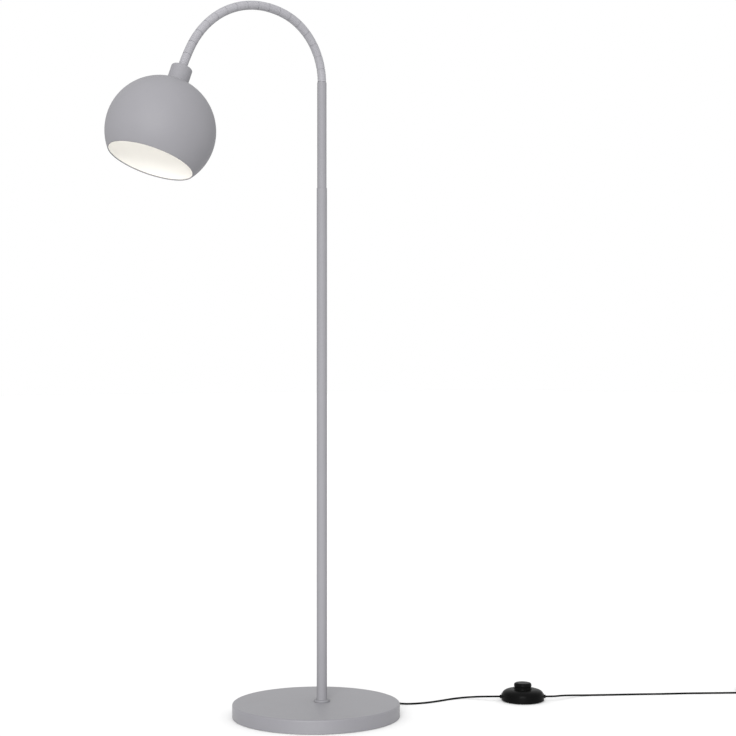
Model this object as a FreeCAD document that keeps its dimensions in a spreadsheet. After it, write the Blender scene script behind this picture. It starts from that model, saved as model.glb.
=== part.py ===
"""Gooseneck reading floor lamp with a foot switch on its cord.

A heavy disc carries a thin two-step pole. A ribbed gooseneck bends over from the
pole's top and holds a shade, a ball cut open below its middle. The shade, the neck
and the pole lie in one upright plane, and the cord leaves the disc in that plane too.

Frame: +Z up, the floor at Z = 0, the pole's axis on X = Y = 0. The shade hangs on
the -X side and the cord leaves on the +X side. Millimetres.
"""
import FreeCAD, Part
import Sketcher
import math
import os
from types import SimpleNamespace

from FreeCAD import Placement, Rotation, Vector

# ---------------------------------------------------------------- driving sizes
VALUES = {
    # base
    "base_radius": 150.0,
    "base_height": 25.0,
    "pole_setback": 13.0,
    "rim_round": 3.0,
    "rim_lift": 1.0,
    "cover_wall": 1.2,
    "pad_thickness": 2.0,
    "pad_inset": 6.0,
    "plate_thickness": 1.5,
    "plate_inset": 4.0,
    "weight_gap": 2.0,
    "weight_recess": 6.0,
    "weight_rim": 14.0,
    "boss_radius": 7.0,
    "boss_circle": 80.0,
    "screw_radius": 2.0,
    "screw_head_radius": 3.8,
    "screw_length": 9.0,
    "screw_clearance": 1.0,
    "cord_slot": 12.0,
    "cut_margin": 2.0,
    # threaded joint of pole and base
    "thread_radius": 5.0,
    "thread_bore": 3.5,
    "thread_clearance": 0.1,
    "nut_across": 17.0,
    "nut_height": 4.0,
    "washer_radius": 11.0,
    "washer_thickness": 1.2,
    "foot_ring_radius": 14.2,
    "foot_ring_height": 2.2,
    "foot_ring_chamfer": 0.5,
    "insert_length": 25.0,
    # pole
    "pole_radius": 9.25,
    "pole_bore": 8.45,
    "pole_top": 947.0,
    "pole_lip": 0.5,
    "tube_radius": 8.4,
    "tube_bore": 7.4,
    "tube_overlap": 40.0,
    "neck_foot": 1137.0,
    "root_length": 20.0,
    # gooseneck: route, ribs and ball joints
    "low_bend_radius": 115.0,
    "low_bend_turn": 71.0,
    "top_bend_radius": 169.5,
    "top_bend_turn": 81.0,
    "end_bend_radius": 330.0,
    "link_length": 23.4,
    "rib_radius": 7.75,
    "rib_crest": 1.1,
    "rib_flank": 0.35,
    "core_radius": 7.3,
    "neck_bore": 2.75,
    "link_gap": 1.4,
    "ball_radius": 6.7,
    "ball_clearance": 0.1,
    "ball_reach": 4.3,
    # shade and collar
    "shade_radius": 92.3,
    "shade_wall": 1.2,
    "opening_drop": 55.7,
    "collar_radius": 18.2,
    "collar_height": 27.0,
    "collar_wall": 1.5,
    "collar_round": 4.0,
    "tip_flange_radius": 9.5,
    "tip_flange": 2.0,
    "tip_reach": 14.3,
    # lampholder and bulb
    "holder_radius": 19.5,
    "holder_wall": 2.2,
    "holder_cap_wall": 4.4,
    "holder_cap_drop": 22.3,
    "holder_drop": 54.3,
    "holder_floor": 6.0,
    "ring_radius": 23.0,
    "ring_height": 4.0,
    "ring_drop": 46.3,
    "ring_thread": 0.5,
    "sleeve_radius": 14.2,
    "sleeve_wall": 0.4,
    "sleeve_recess": 1.0,
    "contact_radius": 4.0,
    "contact_height": 1.5,
    "bulb_thread_radius": 13.2,
    "bulb_thread_length": 23.0,
    "bulb_tip_height": 3.0,
    "bulb_tip_radius": 5.0,
    "bulb_tip_edge": 0.8,
    "bulb_radius": 22.5,
    "bulb_neck_radius": 12.0,
    "bulb_drop": 81.3,
    "bulb_wall": 0.8,
    # foot switch
    "switch_radius": 40.0,
    "switch_edge": 0.8,
    "switch_rim": 11.0,
    "switch_rim_round": 1.5,
    "switch_shoulder_radius": 25.0,
    "switch_shoulder": 19.0,
    "switch_rise": 1.0,
    "switch_wall": 2.0,
    "switch_foot": 1.5,
    "switch_foot_inset": 4.0,
    "switch_foot_width": 8.0,
    "switch_floor": 2.5,
    "contacts_radius": 10.4,
    "contacts_height": 4.0,
    "button_radius": 16.4,
    "button_waist": 15.8,
    "waist_rise": 2.0,
    "waist_slope": 2.0,
    "button_head": 6.0,
    "button_top": 34.0,
    "button_round": 4.0,
    "button_flange": 2.0,
    "button_grip": 2.5,
    "button_gap": 0.4,
    "button_play": 0.3,
    # bushes of the cord
    "gland_radius": 3.2,
    "gland_length": 5.0,
    "gland_lip": 1.4,
    "gland_lip_length": 2.5,
    "gland_lip_taper": 0.6,
    "entry_inset": 1.0,
    "entry_edge": 0.6,
    # cord and plug
    "cord_radius": 1.7,
    "cord_exit_height": 8.0,
    "coil_step": 4.0,
    "coil_outer_radius": 28.2,
    "plug_width": 35.4,
    "plug_thickness": 13.8,
    "plug_length": 35.5,
    "plug_shoulder": 21.3,
    "plug_nose": 8.9,
    "plug_nose_width": 26.0,
    "plug_back_width": 13.6,
    "plug_round": 3.0,
    "pin_radius": 2.0,
    "pin_length": 19.0,
    "pin_round": 1.2,
    "pin_spread": 18.6,
    "pin_sleeve_length": 9.5,
    "pin_core_radius": 1.5,
    "relief_foot_radius": 5.1,
    "relief_foot_length": 5.3,
    "relief_radius": 3.4,
    "relief_wall": 0.6,
    "relief_length": 22.0,
}
LINKS = 18
RIBS_PER_LINK = 8
BASE_SCREWS = 3
COIL_TURNS = 4

mm = SimpleNamespace(**VALUES)


class Size:
    """A length that knows its formula in the sheet as well as its value."""

    def __init__(self, formula, value):
        self.formula = formula
        self.value = value

    def __add__(self, other):
        return join(self, "+", other, self.value + number(other))

    def __sub__(self, other):
        return join(self, "-", other, self.value - number(other))

    def __mul__(self, other):
        return join(self, "*", other, self.value * number(other))

    def __truediv__(self, other):
        return join(self, "/", other, self.value / number(other))

    def __neg__(self):
        return Size(f"(0 - {self.formula})", -self.value)


def number(size):
    return size.value if isinstance(size, Size) else float(size)


def formula(size):
    return size.formula if isinstance(size, Size) else repr(float(size))


def join(left, sign, right, value):
    return Size(f"({formula(left)} {sign} {formula(right)})", value)


def side(long_side, short_side):
    """The third side of a right triangle: where a ball meets a radius or a plane."""
    square = long_side * long_side - short_side * short_side
    return Size(f"sqrt({square.formula})", math.sqrt(square.value))


size = SimpleNamespace(**{name: Size(f"Sizes.{name}", value) for name, value in VALUES.items()})

document = FreeCAD.newDocument("floor_lamp")
sheet = document.addObject("Spreadsheet::Sheet", "Sizes")
for row, (name, value) in enumerate(VALUES.items(), start=1):
    sheet.set(f"A{row}", name)
    sheet.set(f"B{row}", str(value))
    sheet.setAlias(f"B{row}", name)
document.recompute()

pieces = []


# ---------------------------------------------------------------- drawing helpers
def bow(radius, turn):
    """An arc to the next corner: its centre is on the left (1) or the right (-1)."""
    return ("bow", radius, turn)


def new_body(label):
    body = document.addObject("PartDesign::Body", label)
    body.Label = label
    pieces.append(body)
    return body


def new_sketch(body, name, plane):
    sketch = body.newObject("Sketcher::SketchObject", name)
    origin = [item for item in body.Origin.OriginFeatures if item.Role == plane][0]
    sketch.AttachmentSupport = [(origin, "")]
    sketch.MapMode = "FlatFace"
    return sketch


def pin_point(sketch, edge, end, x, y):
    """Hold one end of an edge at two distances from the sketch's axes."""
    for kind, distance, axis in (("DistanceX", x, -2), ("DistanceY", y, -1)):
        if not isinstance(distance, Size) and distance == 0:
            sketch.addConstraint(Sketcher.Constraint("PointOnObject", edge, end, axis))
            continue
        held = sketch.addConstraint(
            Sketcher.Constraint(kind, -1, 1, edge, end, number(distance)))
        sketch.setExpression(f"Constraints[{held}]", formula(distance))


def draw_outline(sketch, outline):
    """A closed outline of corners (x, y), joined by lines or by bows."""
    corners = [item for item in outline if item[0] != "bow"]
    bows = {}
    for item in outline:
        if item[0] == "bow":
            bows[seen - 1] = item
        else:
            seen = corners.index(item) + 1
    starts = []
    ends = []
    for index, corner in enumerate(corners):
        following = corners[(index + 1) % len(corners)]
        a = Vector(number(corner[0]), number(corner[1]), 0)
        b = Vector(number(following[0]), number(following[1]), 0)
        if index not in bows:
            edge = sketch.addGeometry(Part.LineSegment(a, b), False)
            starts.append((edge, 1))
            ends.append((edge, 2))
            continue
        radius, turn = bows[index][1:]
        chord = b - a
        reach = math.sqrt(max(number(radius) ** 2 - (chord.Length / 2) ** 2, 0))
        left = Vector(-chord.y, chord.x, 0).normalize()
        centre = (a + b) * 0.5 + left * (reach * turn)
        first, last = (a, b) if turn > 0 else (b, a)
        from_angle = math.atan2(first.y - centre.y, first.x - centre.x)
        to_angle = math.atan2(last.y - centre.y, last.x - centre.x)
        if to_angle <= from_angle:
            to_angle += 2 * math.pi
        circle = Part.Circle(centre, Vector(0, 0, 1), number(radius))
        edge = sketch.addGeometry(Part.ArcOfCircle(circle, from_angle, to_angle), False)
        held = sketch.addConstraint(Sketcher.Constraint("Radius", edge, number(radius)))
        sketch.setExpression(f"Constraints[{held}]", formula(radius))
        starts.append((edge, 1 if turn > 0 else 2))
        ends.append((edge, 2 if turn > 0 else 1))
    for index, corner in enumerate(corners):
        sketch.addConstraint(Sketcher.Constraint("Coincident", *ends[index - 1], *starts[index]))
        pin_point(sketch, *starts[index], corner[0], corner[1])


def draw_circle(sketch, x, y, radius):
    centre = Vector(number(x), number(y), 0)
    edge = sketch.addGeometry(Part.Circle(centre, Vector(0, 0, 1), number(radius)), False)
    held = sketch.addConstraint(Sketcher.Constraint("Radius", edge, number(radius)))
    sketch.setExpression(f"Constraints[{held}]", formula(radius))
    pin_point(sketch, edge, 3, x, y)


def turn_outline(body, outline, name="Outline"):
    """Revolve an outline of (radius, height) corners about the body's own Z axis."""
    sketch = new_sketch(body, name, "XZ_Plane")
    draw_outline(sketch, outline)
    turned_form = body.newObject("PartDesign::Revolution", f"{name}Turned")
    turned_form.Profile = sketch
    turned_form.ReferenceAxis = (sketch, ["V_Axis"])
    turned_form.Angle = 360.0
    return turned_form


def turned(label, outline, placement=None):
    body = new_body(label)
    turn_outline(body, outline)
    if placement is not None:
        body.Placement = placement
    return body


def extrude(body, kind, sketch, length, name, up=True):
    """Pad or pocket a sketch, from its plane toward +normal if up, else toward -normal."""
    feature = body.newObject(f"PartDesign::{kind}", name)
    feature.Profile = sketch
    feature.Type = 0
    feature.Length = number(length)
    if isinstance(length, Size):
        feature.setExpression("Length", length.formula)
    feature.Reversed = (not up) if kind == "Pad" else up
    return feature


def hexagon(across):
    """The corners of a hexagon with the given width across its flats."""
    corner = across / math.sqrt(3)
    half = across / 2
    return [(corner, 0), (corner / 2, half), (-(corner / 2), half),
            (-corner, 0), (-(corner / 2), -half), (corner / 2, -half)]


def hex_nut(label, across, bore, height, placement):
    body = new_body(label)
    sketch = new_sketch(body, "Hexagon", "XY_Plane")
    draw_outline(sketch, hexagon(across))
    draw_circle(sketch, 0, 0, bore)
    extrude(body, "Pad", sketch, height, "Nut")
    body.Placement = placement
    return body


def shape_piece(label, shape, placement=None):
    """A piece whose form is swept or lofted along a route of its own."""
    feature = document.addObject("Part::Feature", label)
    feature.Label = label
    feature.Shape = shape
    if placement is not None:
        feature.Placement = placement
    pieces.append(feature)
    return feature


# ---------------------------------------------------------------- routes
def arc_edges(start, corner, end):
    """The arc that touches start-corner and corner-end, whose two legs are as long."""
    leg = (corner - start).Length
    half_chord = (end - start).Length / 2
    cosine = half_chord / leg
    if cosine > 1 - 1e-9:
        return Part.LineSegment(start, end)
    radius = leg * cosine / math.sqrt(1 - cosine * cosine)
    inward = ((start + end) * 0.5 - corner).normalize()
    middle = corner + inward * (radius / cosine - radius)
    return Part.Arc(start, middle, end)


def biarc(start, start_way, end, end_way):
    """Two arcs from one point and direction to another, tangent where they meet."""
    chord = end - start
    along = chord.dot(start_way + end_way)
    spread = 2 * (1 - start_way.dot(end_way))
    if spread < 1e-9:
        leg = chord.dot(chord) / (4 * chord.dot(end_way))
    else:
        leg = (math.sqrt(along * along + spread * chord.dot(chord)) - along) / spread
    first_corner = start + start_way * leg
    second_corner = end - end_way * leg
    middle = (first_corner + second_corner) * 0.5
    return [arc_edges(start, first_corner, middle), arc_edges(middle, second_corner, end)]


def rounded_route(points):
    """Straight runs joined by arcs, each as large as its two runs allow."""
    curves = []
    radii = []
    last = points[0]
    for before, corner, after in zip(points, points[1:], points[2:]):
        arriving = (corner - before).normalize()
        leaving = (after - corner).normalize()
        leg = 0.45 * min((corner - before).Length, (after - corner).Length)
        radii.append(leg / math.tan(arriving.getAngle(leaving) / 2))
        arc_start = corner - arriving * leg
        arc_end = corner + leaving * leg
        curves.append(Part.LineSegment(last, arc_start))
        curves.append(arc_edges(arc_start, corner, arc_end))
        last = arc_end
    curves.append(Part.LineSegment(last, points[-1]))
    return curves, radii


def tube(curves, radius):
    """A round solid along curves, swept from a circle square to the first one."""
    wire = Part.Wire([curve.toShape() for curve in curves])
    first = wire.OrderedEdges[0]
    start = first.valueAt(first.FirstParameter)
    way = first.tangentAt(first.FirstParameter)
    circle = Part.Wire(Part.Circle(start, way, radius).toShape())
    sweep = Part.BRepOffsetAPI.MakePipeShell(wire)
    sweep.add(circle)
    sweep.build()
    sweep.makeSolid()
    solid = sweep.shape()
    ratio = solid.Volume / (math.pi * radius ** 2 * wire.Length)
    return solid, wire.Length, ratio


# ---------------------------------------------------------------- the base
disc = Placement(Vector(-mm.pole_setback, 0, 0), Rotation())
cover_top = size.base_height
cover_under = size.base_height - size.cover_wall
plate_top = size.pad_thickness + size.plate_thickness
recess_top = plate_top + size.weight_recess
weight_radius = size.base_radius - size.cover_wall - size.weight_gap
clear_hole = size.thread_radius + size.thread_clearance


def base_pad():
    """The thin sheet under the base that the lamp stands on."""
    turned("base_pad", [
        (0, 0),
        (size.base_radius - size.pad_inset, 0),
        (size.base_radius - size.pad_inset, size.pad_thickness),
        (0, size.pad_thickness),
    ], disc)


def base_plate():
    """The steel plate that closes the base, with a countersunk hole for each screw."""
    body = turned("base_plate", [
        (0, size.pad_thickness),
        (size.base_radius - size.plate_inset, size.pad_thickness),
        (size.base_radius - size.plate_inset, plate_top),
        (0, plate_top),
    ], disc)
    sink = new_sketch(body, "ScrewSink", "XZ_Plane")
    draw_outline(sink, [
        (size.boss_circle, size.pad_thickness),
        (size.boss_circle + size.screw_head_radius, size.pad_thickness),
        (size.boss_circle + size.screw_radius, plate_top),
        (size.boss_circle, plate_top),
    ])
    axis = sink.addGeometry(Part.LineSegment(
        Vector(mm.boss_circle, 0, 0), Vector(mm.boss_circle, mm.base_height, 0)), True)
    sink.addConstraint(Sketcher.Constraint("Vertical", axis))
    sink.addConstraint(Sketcher.Constraint("PointOnObject", axis, 1, -1))
    held = sink.addConstraint(Sketcher.Constraint("DistanceX", -1, 1, axis, 1, mm.boss_circle))
    sink.setExpression(f"Constraints[{held}]", size.boss_circle.formula)
    groove = body.newObject("PartDesign::Groove", "ScrewHole")
    groove.Profile = sink
    groove.ReferenceAxis = (sink, ["Axis0"])
    groove.Angle = 360.0
    repeat_round(body, groove, BASE_SCREWS)


def repeat_round(body, feature, count):
    """Copy a feature at even steps about the body's Z axis."""
    pattern = body.newObject("PartDesign::PolarPattern", f"{feature.Name}Round")
    pattern.Originals = [feature]
    axis = [item for item in body.Origin.OriginFeatures if item.Role == "Z_Axis"][0]
    pattern.Axis = (axis, [""])
    pattern.Angle = 360.0
    pattern.Occurrences = count
    body.Tip = pattern


def base_weight():
    """The cast disc: hollow below for the cord, with a rim and screw bosses."""
    body = turned("base_weight", [
        (0, recess_top),
        (weight_radius - size.weight_rim, recess_top),
        (weight_radius - size.weight_rim, plate_top),
        (weight_radius, plate_top),
        (weight_radius, cover_under - size.rim_round),
        (weight_radius - size.rim_round, cover_under),
        (0, cover_under),
    ], disc)
    boss_sketch = new_sketch(body, "Boss", "XY_Plane")
    draw_circle(boss_sketch, size.boss_circle, 0, size.boss_radius)
    boss_sketch.AttachmentOffset = Placement(Vector(0, 0, plate_top.value), Rotation())
    boss_sketch.setExpression("AttachmentOffset.Base.z", plate_top.formula)
    boss = extrude(body, "Pad", boss_sketch, size.weight_recess + size.cover_wall, "BossPad")
    repeat_round(body, boss, BASE_SCREWS)
    hole_sketch = new_sketch(body, "ScrewBore", "XY_Plane")
    draw_circle(hole_sketch, size.boss_circle, 0, size.screw_radius)
    hole = extrude(body, "Pocket", hole_sketch, plate_top + size.screw_length, "ScrewBorePocket")
    repeat_round(body, hole, BASE_SCREWS)
    nipple_sketch = new_sketch(body, "NippleHole", "XY_Plane")
    draw_circle(nipple_sketch, size.pole_setback, 0, clear_hole)
    extrude(body, "Pocket", nipple_sketch, cover_top, "NipplePocket")
    slot_sketch = new_sketch(body, "CordSlot", "XY_Plane")
    inner = weight_radius - size.weight_rim - size.cut_margin
    draw_outline(slot_sketch, [
        (inner, -(size.cord_slot / 2)),
        (size.base_radius, -(size.cord_slot / 2)),
        (size.base_radius, size.cord_slot / 2),
        (inner, size.cord_slot / 2),
    ])
    extrude(body, "Pocket", slot_sketch, size.cord_exit_height + size.cord_slot / 2, "CordSlotPocket")


def base_cover():
    """The pressed steel cover with its rounded rim."""
    outer = size.base_radius
    inner = size.base_radius - size.cover_wall
    bend = size.rim_round - size.cover_wall
    body = turned("base_cover", [
        (0, cover_top),
        (0, cover_under),
        (outer - size.rim_round, cover_under),
        bow(bend, -1),
        (inner, cover_top - size.rim_round),
        (inner, size.rim_lift),
        (outer, size.rim_lift),
        (outer, cover_top - size.rim_round),
        bow(size.rim_round, 1),
        (outer - size.rim_round, cover_top),
    ], disc)
    pole_hole = new_sketch(body, "PoleHole", "XY_Plane")
    draw_circle(pole_hole, size.pole_setback, 0, clear_hole)
    extrude(body, "Pocket", pole_hole, cover_top, "PolePocket")
    cord_hole = new_sketch(body, "CordHole", "YZ_Plane")
    draw_circle(cord_hole, 0, size.cord_exit_height, size.gland_radius)
    extrude(body, "Pocket", cord_hole, outer, "CordPocket")


def base_screws():
    """Countersunk screws that hold the plate up against the weight's bosses."""
    screw_end = plate_top.value + mm.screw_length - mm.screw_clearance
    outline = [
        (0, mm.pad_thickness),
        (mm.screw_head_radius, mm.pad_thickness),
        (mm.screw_radius, plate_top.value),
        (mm.screw_radius, screw_end),
        (0, screw_end),
    ]
    corners = [Vector(radius, 0, height) for radius, height in outline]
    face = Part.Face(Part.makePolygon(corners + corners[:1]))
    screw = face.revolve(Vector(), Vector(0, 0, 1), 360)
    copies = []
    for index in range(BASE_SCREWS):
        copy = screw.copy()
        turn = Rotation(Vector(0, 0, 1), index * 360 / BASE_SCREWS)
        copy.Placement = Placement(turn.multVec(Vector(mm.boss_circle, 0, 0)), turn)
        copies.append(copy)
    shape_piece("base_screws", Part.makeCompound(copies), disc)


def cord_gland():
    """The bush that leads the cord out of the cover."""
    shank = size.gland_radius
    lip = shank + size.gland_lip
    end = size.gland_length + size.gland_lip_length
    start = -mm.pole_setback + mm.base_radius - mm.gland_length
    turned("cord_gland", [
        (0, 0),
        (shank, 0),
        (shank, size.gland_length),
        (lip, size.gland_length),
        (lip - size.gland_lip_taper, end),
        (0, end),
    ], Placement(Vector(start, 0, mm.cord_exit_height), Rotation(Vector(0, 1, 0), 90)))


# ---------------------------------------------------------------- the pole
pole_foot = size.base_height + size.foot_ring_height


def pole():
    nut_top = recess_top - size.washer_thickness
    nut_bottom = nut_top - size.nut_height
    turned("base_washer", [
        (clear_hole, nut_top),
        (size.washer_radius, nut_top),
        (size.washer_radius, recess_top),
        (clear_hole, recess_top),
    ])
    hex_nut("base_nut", size.nut_across, size.thread_radius, size.nut_height,
            Placement(Vector(0, 0, nut_bottom.value), Rotation()))
    turned("pole_nipple", [
        (size.thread_bore, nut_bottom),
        (size.thread_radius, nut_bottom),
        (size.thread_radius, pole_foot + size.insert_length),
        (size.thread_bore, pole_foot + size.insert_length),
    ])
    ring_edge = size.foot_ring_radius - size.foot_ring_chamfer
    turned("foot_ring", [
        (clear_hole, cover_top),
        (size.foot_ring_radius, cover_top),
        (size.foot_ring_radius, pole_foot - size.foot_ring_chamfer),
        (ring_edge, pole_foot),
        (clear_hole, pole_foot),
    ])
    turned("pole_insert", [
        (size.thread_radius, pole_foot),
        (size.pole_bore, pole_foot),
        (size.pole_bore, pole_foot + size.insert_length),
        (size.thread_radius, pole_foot + size.insert_length),
    ])
    turned("lower_pole", [
        (size.pole_bore, pole_foot),
        (size.pole_radius, pole_foot),
        (size.pole_radius, size.pole_top - size.pole_lip),
        bow(size.pole_lip, 1),
        (size.pole_radius - size.pole_lip, size.pole_top),
        (size.pole_bore, size.pole_top),
    ])
    tube_end = size.neck_foot - size.link_gap / 2
    turned("upper_tube", [
        (size.tube_bore, size.pole_top - size.tube_overlap),
        (size.tube_radius, size.pole_top - size.tube_overlap),
        (size.tube_radius, tube_end),
        (size.tube_bore, tube_end),
    ])
    socket = size.ball_radius + size.ball_clearance
    turned("neck_root", [
        (size.neck_bore, tube_end - size.root_length),
        (size.tube_bore, tube_end - size.root_length),
        (size.tube_bore, tube_end),
        (side(socket, size.link_gap / 2), tube_end),
        bow(socket, -1),
        (size.neck_bore, size.neck_foot - side(socket, size.neck_bore)),
    ])


# ---------------------------------------------------------------- the gooseneck
NECK_LENGTH = LINKS * mm.link_length


def neck_station(distance):
    """The route's point and heading, from upright, at a distance along the neck."""
    x, z, heading = 0.0, mm.neck_foot, 0.0
    bends = [(mm.low_bend_radius, math.radians(mm.low_bend_turn)),
             (mm.top_bend_radius, math.radians(mm.top_bend_turn)),
             (mm.end_bend_radius, math.inf)]
    left = distance
    for radius, turn in bends:
        part = min(turn, left / radius)
        x -= radius * (math.cos(heading) - math.cos(heading + part))
        z += radius * (math.sin(heading + part) - math.sin(heading))
        heading += part
        left -= radius * part
        if left <= 0:
            break
    return Vector(x, 0, z), heading


def neck_way(heading):
    return Vector(-math.sin(heading), 0, math.cos(heading))


def neck_circle(distance, radius):
    """A circle square to the route, whose seam stays on the neck's +Y side."""
    centre, heading = neck_station(distance)
    turned_frame = Rotation(Vector(0, 1, 0), neck_way(heading).cross(Vector(0, 1, 0)),
                            neck_way(heading), "ZXY")
    circle = Part.makeCircle(radius)
    circle.Placement = Placement(centre, turned_frame)
    return Part.Wire(circle)


def neck_link(index):
    """One ribbed link: a ball at its lower end and a socket at its upper end."""
    low = index * mm.link_length
    high = low + mm.link_length
    rib_width = mm.rib_crest + 2 * mm.rib_flank
    rib_step = (mm.link_length - mm.link_gap - rib_width) / (RIBS_PER_LINK - 1)
    stations = []
    for rib in range(RIBS_PER_LINK):
        foot = low + mm.link_gap / 2 + rib * rib_step
        stations.append((foot, mm.core_radius))
        stations.append((foot + mm.rib_flank, mm.rib_radius))
        stations.append((foot + mm.rib_flank + mm.rib_crest, mm.rib_radius))
        stations.append((foot + rib_width, mm.core_radius))
    ribbed = Part.makeLoft([neck_circle(*station) for station in stations], True, True)

    low_centre, low_heading = neck_station(low)
    high_centre, _ = neck_station(high)
    seat = math.degrees(math.asin(mm.ball_reach / mm.ball_radius))
    merge = math.degrees(math.asin(mm.link_gap / mm.ball_radius))
    ball = Part.makeSphere(mm.ball_radius, low_centre, neck_way(low_heading), -seat, merge, 360)
    socket = Part.makeSphere(mm.ball_radius + mm.ball_clearance, high_centre)
    bore_stations = [low - mm.ball_radius, low, (low + high) / 2, high - mm.ball_reach]
    bore = Part.makeLoft([neck_circle(station, mm.neck_bore) for station in bore_stations],
                         True, True)
    link = ribbed.fuse(ball).cut(bore).cut(socket)
    shape_piece(f"neck_link_{index + 1:02d}", link.Solids[0])


def gooseneck():
    for index in range(LINKS):
        neck_link(index)


# ---------------------------------------------------------------- the head
hinge_centre, hinge_heading = neck_station(NECK_LENGTH)
collar_top = size.shade_radius + size.collar_height
holder_cap_bottom = size.shade_radius - size.holder_cap_drop
holder_bottom = size.shade_radius - size.holder_drop
ring_level = size.shade_radius - size.ring_drop
bulb_centre = size.shade_radius - size.bulb_drop
tip_end = size.shade_radius - size.tip_reach
hinge_height = collar_top + size.link_gap / 2
head_turn = Rotation(Vector(0, 1, 0), 180 - math.degrees(hinge_heading))
shade_centre = hinge_centre + neck_way(hinge_heading) * hinge_height.value
head = Placement(shade_centre, head_turn)


def neck_tip():
    """The last ball, screwed through the collar, the shade and the lampholder."""
    shoulder = hinge_height - size.link_gap / 2
    flange_top = shoulder - size.collar_wall
    flange_under = flange_top - size.tip_flange
    turned("neck_tip", [
        (size.neck_bore, tip_end),
        (size.thread_radius, tip_end),
        (size.thread_radius, flange_under),
        (size.tip_flange_radius, flange_under),
        (size.tip_flange_radius, flange_top),
        (size.core_radius, flange_top),
        (size.core_radius, shoulder),
        (side(size.ball_radius, size.link_gap / 2), shoulder),
        bow(size.ball_radius, 1),
        (side(size.ball_radius, size.ball_reach), hinge_height + size.ball_reach),
        (size.neck_bore, hinge_height + size.ball_reach),
    ], head)


def collar():
    """The cup over the shade's fixing, cut to the shade's ball at its lower edge."""
    outer = size.collar_radius
    inner = size.collar_radius - size.collar_wall
    top = collar_top
    under = top - size.collar_wall
    bend = size.collar_round - size.collar_wall
    turned("socket_cover", [
        (size.core_radius, under),
        (outer - size.collar_round, under),
        bow(bend, -1),
        (inner, top - size.collar_round),
        (inner, side(size.shade_radius, inner)),
        bow(size.shade_radius, -1),
        (outer, side(size.shade_radius, outer)),
        (outer, top - size.collar_round),
        bow(size.collar_round, 1),
        (outer - size.collar_round, top),
        (size.core_radius, top),
    ], head)


def shade():
    """The spun ball, open below its middle."""
    outer = size.shade_radius
    inner = size.shade_radius - size.shade_wall
    turned("shade", [
        (side(inner, size.opening_drop), -size.opening_drop),
        (side(outer, size.opening_drop), -size.opening_drop),
        bow(outer, 1),
        (clear_hole, side(outer, clear_hole)),
        (clear_hole, side(inner, clear_hole)),
        bow(inner, -1),
    ], head)


def head_nut():
    """A washer cut to the shade's ball, with the nut that clamps the shade on it."""
    washer_top = size.shade_radius + size.washer_thickness
    turned("head_washer", [
        (clear_hole, side(size.shade_radius, clear_hole)),
        bow(size.shade_radius, -1),
        (size.washer_radius, side(size.shade_radius, size.washer_radius)),
        (size.washer_radius, washer_top),
        (clear_hole, washer_top),
    ], head)
    seat = head.multiply(Placement(Vector(0, 0, washer_top.value), Rotation()))
    hex_nut("head_nut", size.nut_across, size.thread_radius, size.nut_height, seat)


def lampholder():
    inner_ball = size.shade_radius - size.shade_wall
    outer = size.holder_radius
    inner = size.holder_radius - size.holder_wall
    crown = side(inner_ball, size.thread_radius)
    shoulder = side(inner_ball, inner)
    turned("lampholder_cap", [
        (size.thread_radius, crown - size.holder_cap_wall),
        (size.thread_radius, crown),
        bow(inner_ball, -1),
        (inner, shoulder),
        (outer, shoulder - size.holder_wall),
        (outer, holder_cap_bottom),
        (inner, holder_cap_bottom),
        (inner, crown - size.holder_cap_wall),
    ], head)
    floor = holder_cap_bottom - size.holder_floor
    thread = outer - size.ring_thread
    turned("lampholder_body", [
        (0, floor),
        (size.sleeve_radius, floor),
        (size.sleeve_radius, holder_bottom),
        (thread, holder_bottom),
        (thread, ring_level),
        (outer, ring_level),
        (outer, holder_cap_bottom),
        (0, holder_cap_bottom),
    ], head)
    turned("lampholder_ring", [
        (thread, ring_level - size.ring_height),
        (size.ring_radius, ring_level - size.ring_height),
        (size.ring_radius, ring_level),
        (thread, ring_level),
    ], head)
    sleeve_inner = size.sleeve_radius - size.sleeve_wall
    turned("lampholder_sleeve", [
        (sleeve_inner, holder_bottom + size.sleeve_recess),
        (size.sleeve_radius, holder_bottom + size.sleeve_recess),
        (size.sleeve_radius, floor),
        (sleeve_inner, floor),
    ], head)
    turned("lampholder_contact", [
        (0, floor - size.contact_height),
        (size.contact_radius, floor - size.contact_height),
        (size.contact_radius, floor),
        (0, floor),
    ], head)


def bulb():
    """A small ball bulb with its screw cap."""
    tip = holder_cap_bottom - size.holder_floor - size.contact_height
    cap_top = tip - size.bulb_tip_height
    cap_bottom = cap_top - size.bulb_thread_length
    thread = size.bulb_thread_radius
    turned("bulb_cap", [
        (0, cap_bottom),
        (thread, cap_bottom),
        (thread, cap_top),
        (size.bulb_tip_radius, tip - size.bulb_tip_edge),
        (size.bulb_tip_radius - size.bulb_tip_edge, tip),
        (0, tip),
    ], head)
    ball = size.bulb_radius
    inner = ball - size.bulb_wall
    neck = size.bulb_neck_radius
    neck_inner = neck - size.bulb_wall
    neck_height = bulb_centre + side(ball, neck)
    inner_height = bulb_centre + side(inner, neck_inner)
    turned("bulb_glass", [
        (0, bulb_centre - ball),
        bow(ball, 1),
        (ball, bulb_centre),
        bow(ball, 1),
        (neck, neck_height),
        (neck, cap_bottom),
        (neck_inner, cap_bottom),
        (neck_inner, inner_height),
        bow(inner, -1),
        (inner, bulb_centre),
        bow(inner, -1),
        (0, bulb_centre - inner),
    ], head)


# ---------------------------------------------------------------- the foot switch
SWITCH_PLACE = Vector(369.4, -140.1, 0)
SWITCH_TURN = -40.0
switch_frame = Placement(SWITCH_PLACE, Rotation(Vector(0, 0, 1), SWITCH_TURN))


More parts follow.
